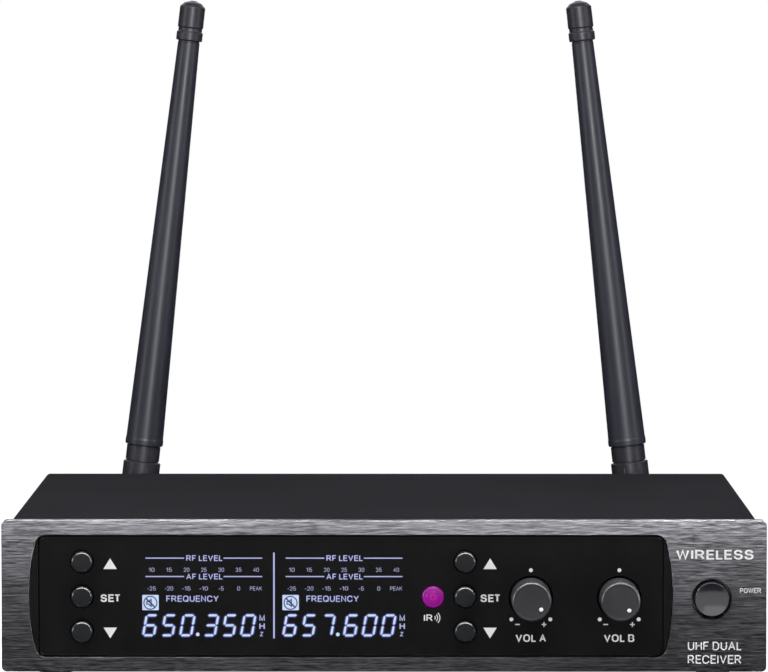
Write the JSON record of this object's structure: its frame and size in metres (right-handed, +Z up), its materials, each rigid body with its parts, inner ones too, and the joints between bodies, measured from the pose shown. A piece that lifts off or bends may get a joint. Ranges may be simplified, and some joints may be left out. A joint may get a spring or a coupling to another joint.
{
  "type": "wireless receiver",
  "caption": "Half-rack dual-channel wireless microphone receiver with a display panel, push buttons, volume knobs and two folding rear antennas.",
  "frame": {"origin": "centre of the overall box in X and Y at the undersides of the feet, the level of the table", "axes": "+X to the right seen from the front, +Y towards the rear sockets and antennas, +Z up"},
  "size_m": [0.212, 0.1962, 0.1885],
  "materials": {
    "brushed_aluminium": "brushed, dark anodised",
    "cover_paint": "black satin powder coat",
    "chassis_steel": "zinc plated sheet",
    "bezel_plastic": "black satin",
    "lens_plastic": "smoked gloss",
    "button_plastic": "black gloss",
    "knob_plastic": "soft satin black",
    "infrared_plastic": "translucent magenta",
    "display_glass": "liquid crystal cell",
    "backlight_plastic": "white diffuser",
    "circuit_board": "green solder mask",
    "foot_rubber": "black",
    "sleeve_rubber": "black satin",
    "antenna_plastic": "black satin",
    "nickel": "bright nickel plate",
    "shield_can": "tinned shield",
    "dark_metal": "black anodised",
    "switch_body": "black",
    "cable_jacket": "grey jacket"
  },
  "bodies": {
    "case": {"chassis": "chassis_steel", "top_cover": "cover_paint", "front_panel": "brushed_aluminium", "display_bezel": "bezel_plastic", "display_lens": "lens_plastic", "foot_front_left": "foot_rubber", "foot_front_right": "foot_rubber", "foot_rear_left": "foot_rubber", "foot_rear_right": "foot_rubber", "display_backlight": "backlight_plastic", "power_switch": "switch_body", "volume_control_a": "switch_body", "volume_control_b": "switch_body", "mix_jack": "switch_body", "dc_input": "switch_body", "output_pins_a": "switch_body", "output_pins_b": "switch_body", "filter_capacitor": "switch_body", "mix_jack_nut": "nickel", "infrared_window": "infrared_plastic", "display_glass": "display_glass", "control_board": "circuit_board", "main_board": "circuit_board", "radio_module_a": "shield_can", "radio_module_b": "shield_can", "regulator_heat_sink": "dark_metal", "output_shell_a": "dark_metal", "output_shell_b": "dark_metal", "ribbon_cable": "cable_jacket", "antenna_socket_left": "nickel", "antenna_lead_left": "cable_jacket", "antenna_socket_right": "nickel", "antenna_lead_right": "cable_jacket"},
    "button_up_a": {"button_up_a": "button_plastic"},
    "button_set_a": {"button_set_a": "button_plastic"},
    "button_down_a": {"button_down_a": "button_plastic"},
    "button_up_b": {"button_up_b": "button_plastic"},
    "button_set_b": {"button_set_b": "button_plastic"},
    "button_down_b": {"button_down_b": "button_plastic"},
    "power_button": {"power_button": "button_plastic", "power_plunger": "backlight_plastic"},
    "volume_a": {"volume_knob_a": "knob_plastic", "volume_shaft_a": "nickel"},
    "volume_b": {"volume_knob_b": "knob_plastic", "volume_shaft_b": "nickel"},
    "coupling_ring_left": {"coupling_ring_left": "nickel"},
    "antenna_mount_left": {"antenna_base_left": "antenna_plastic", "antenna_pin_left": "nickel"},
    "antenna_whip_left": {"antenna_knuckle_left": "antenna_plastic", "antenna_core_left": "antenna_plastic", "antenna_sleeve_left": "sleeve_rubber", "antenna_tip_left": "antenna_plastic"},
    "coupling_ring_right": {"coupling_ring_right": "nickel"},
    "antenna_mount_right": {"antenna_base_right": "antenna_plastic", "antenna_pin_right": "nickel"},
    "antenna_whip_right": {"antenna_knuckle_right": "antenna_plastic", "antenna_core_right": "antenna_plastic", "antenna_sleeve_right": "sleeve_rubber", "antenna_tip_right": "antenna_plastic"}
  },
  "joints": [
    {"name": "press_up_a", "type": "slide", "parent": "case", "child": "button_up_a", "axis": [0, 1, 0], "range_m": [0, 0.0005], "stiffness_N_per_m": 1000},
    {"name": "press_set_a", "type": "slide", "parent": "case", "child": "button_set_a", "axis": [0, 1, 0], "range_m": [0, 0.0005], "stiffness_N_per_m": 1000},
    {"name": "press_down_a", "type": "slide", "parent": "case", "child": "button_down_a", "axis": [0, 1, 0], "range_m": [0, 0.0005], "stiffness_N_per_m": 1000},
    {"name": "press_up_b", "type": "slide", "parent": "case", "child": "button_up_b", "axis": [0, 1, 0], "range_m": [0, 0.0005], "stiffness_N_per_m": 1000},
    {"name": "press_set_b", "type": "slide", "parent": "case", "child": "button_set_b", "axis": [0, 1, 0], "range_m": [0, 0.0005], "stiffness_N_per_m": 1000},
    {"name": "press_down_b", "type": "slide", "parent": "case", "child": "button_down_b", "axis": [0, 1, 0], "range_m": [0, 0.0005], "stiffness_N_per_m": 1000},
    {"name": "press_power", "type": "slide", "parent": "case", "child": "power_button", "axis": [0, 1, 0], "range_m": [0, 0.0018], "stiffness_N_per_m": 500},
    {"name": "turn_volume_a", "type": "hinge", "parent": "case", "child": "volume_a", "pos_m": [0.0407, -0.08808, 0.0225], "axis": [0, 1, 0], "range_deg": [-264, 6]},
    {"name": "turn_volume_b", "type": "hinge", "parent": "case", "child": "volume_b", "pos_m": [0.0652, -0.08808, 0.0225], "axis": [0, 1, 0], "range_deg": [-270, 0]},
    {"name": "lock_ring_left", "type": "hinge", "parent": "case", "child": "coupling_ring_left", "pos_m": [-0.0775, 0.07493, 0.0304], "axis": [0, 1, 0], "range_deg": [0, 90]},
    {"name": "swivel_left", "type": "hinge", "parent": "case", "child": "antenna_mount_left", "pos_m": [-0.0775, 0.09218, 0.0304], "axis": [0, 1, 0], "range_deg": [-96.5, 18.5]},
    {"name": "fold_left", "type": "hinge", "parent": "antenna_mount_left", "child": "antenna_whip_left", "pos_m": [-0.0775, 0.09218, 0.0304], "axis": [-0.9936, 0, 0.1132], "range_deg": [0, 90]},
    {"name": "lock_ring_right", "type": "hinge", "parent": "case", "child": "coupling_ring_right", "pos_m": [0.0775, 0.07493, 0.0304], "axis": [0, 1, 0], "range_deg": [0, 90]},
    {"name": "swivel_right", "type": "hinge", "parent": "case", "child": "antenna_mount_right", "pos_m": [0.0775, 0.09218, 0.0304], "axis": [0, 1, 0], "range_deg": [-18.5, 96.5]},
    {"name": "fold_right", "type": "hinge", "parent": "antenna_mount_right", "child": "antenna_whip_right", "pos_m": [0.0775, 0.09218, 0.0304], "axis": [-0.9936, 0, -0.1132], "range_deg": [0, 90]}
  ]
}
